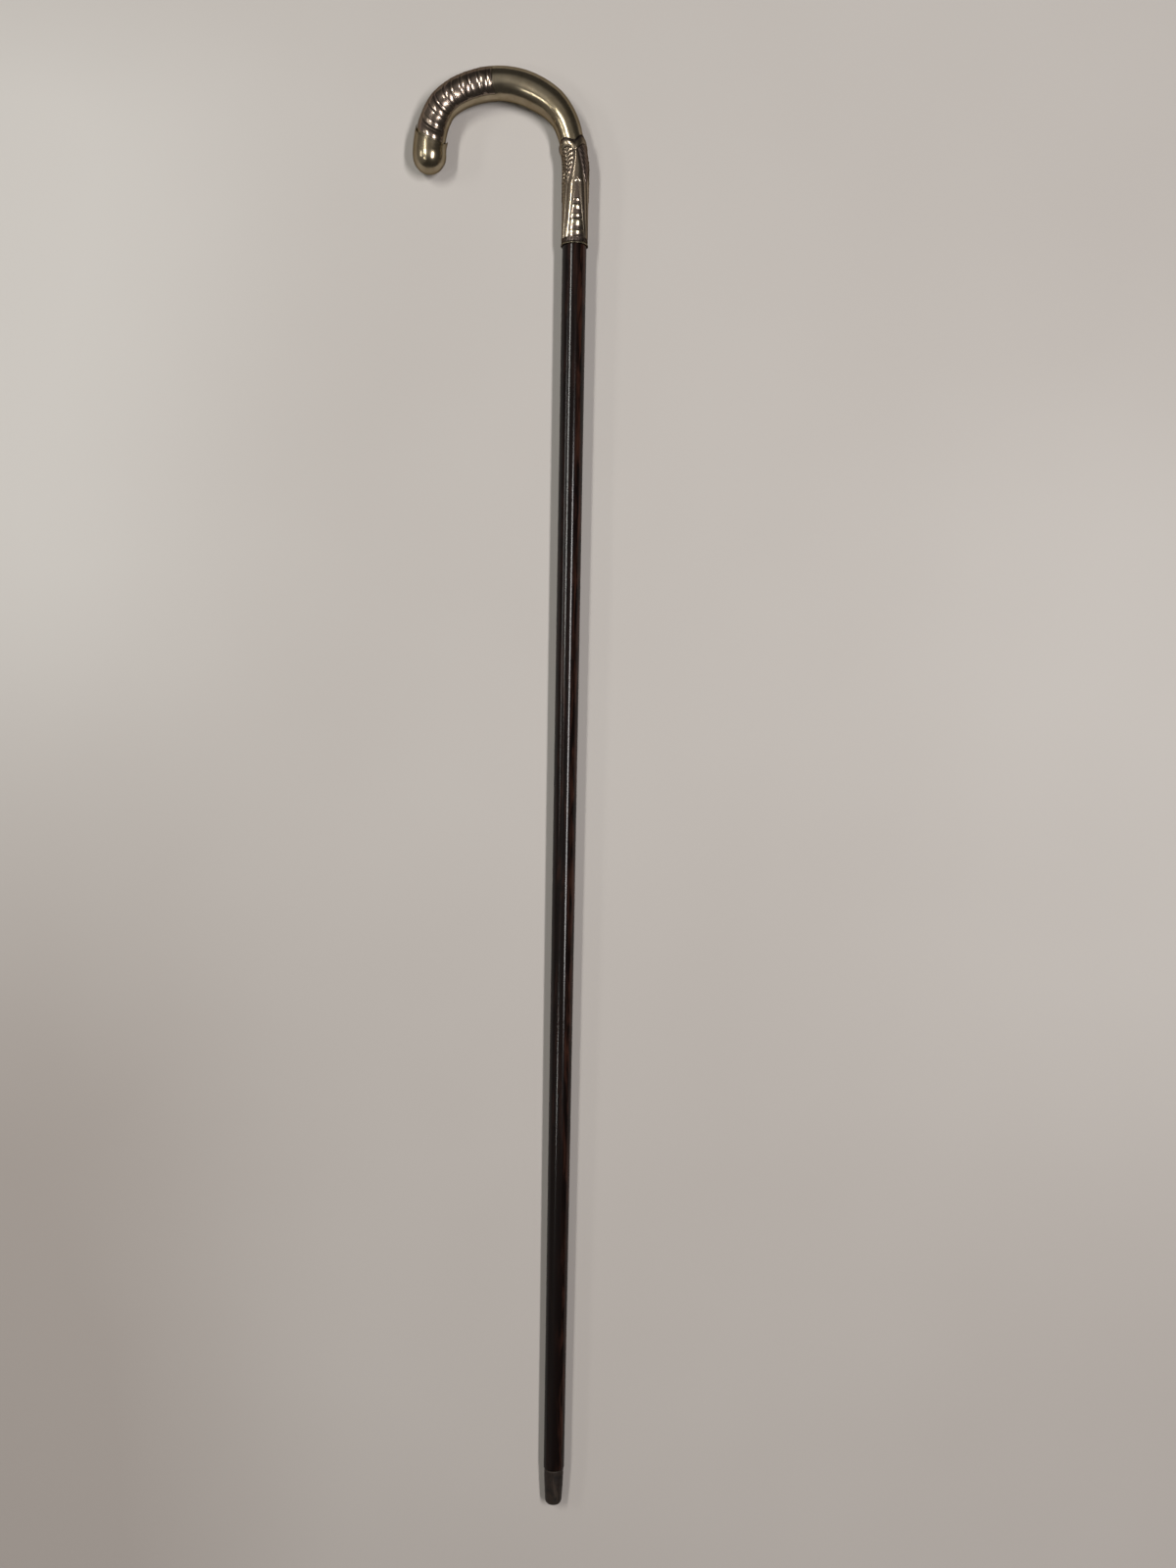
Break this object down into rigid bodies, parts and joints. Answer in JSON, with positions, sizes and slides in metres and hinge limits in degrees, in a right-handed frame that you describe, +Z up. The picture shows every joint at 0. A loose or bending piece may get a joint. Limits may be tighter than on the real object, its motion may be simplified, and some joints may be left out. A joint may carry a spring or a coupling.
{
  "type": "walking cane",
  "caption": "Crook-handled walking cane: a straight tapered hardwood shaft, a stamped silver crook with a ribbed panel and scalloped collar, and a horn ferrule.",
  "frame": {"origin": "middle of the ferrule's worn tip, where the cane meets the ground", "axes": "+Z up along the shaft; the crook lies in the XZ plane with its nose towards -X; -Y is the front, the side that the picture shows"},
  "size_m": [0.1108, 0.0216, 0.8987],
  "materials": {
    "silver": "polished silver with light warm tarnish, darker in the hollows of the relief",
    "hardwood": "near-black polished hardwood with reddish brown streaks",
    "horn": "worn dark brown horn",
    "pitch": "dull cast pitch cement, hidden"
  },
  "bodies": {
    "root": {"ferrule": "horn", "shaft": "hardwood", "collar_rim": "silver", "collar_front_shell": "silver", "collar_back_shell": "silver", "crook_front_shell": "silver", "crook_back_shell": "silver", "nose_cap": "silver", "handle_fill": "pitch"}
  },
  "joints": []
}
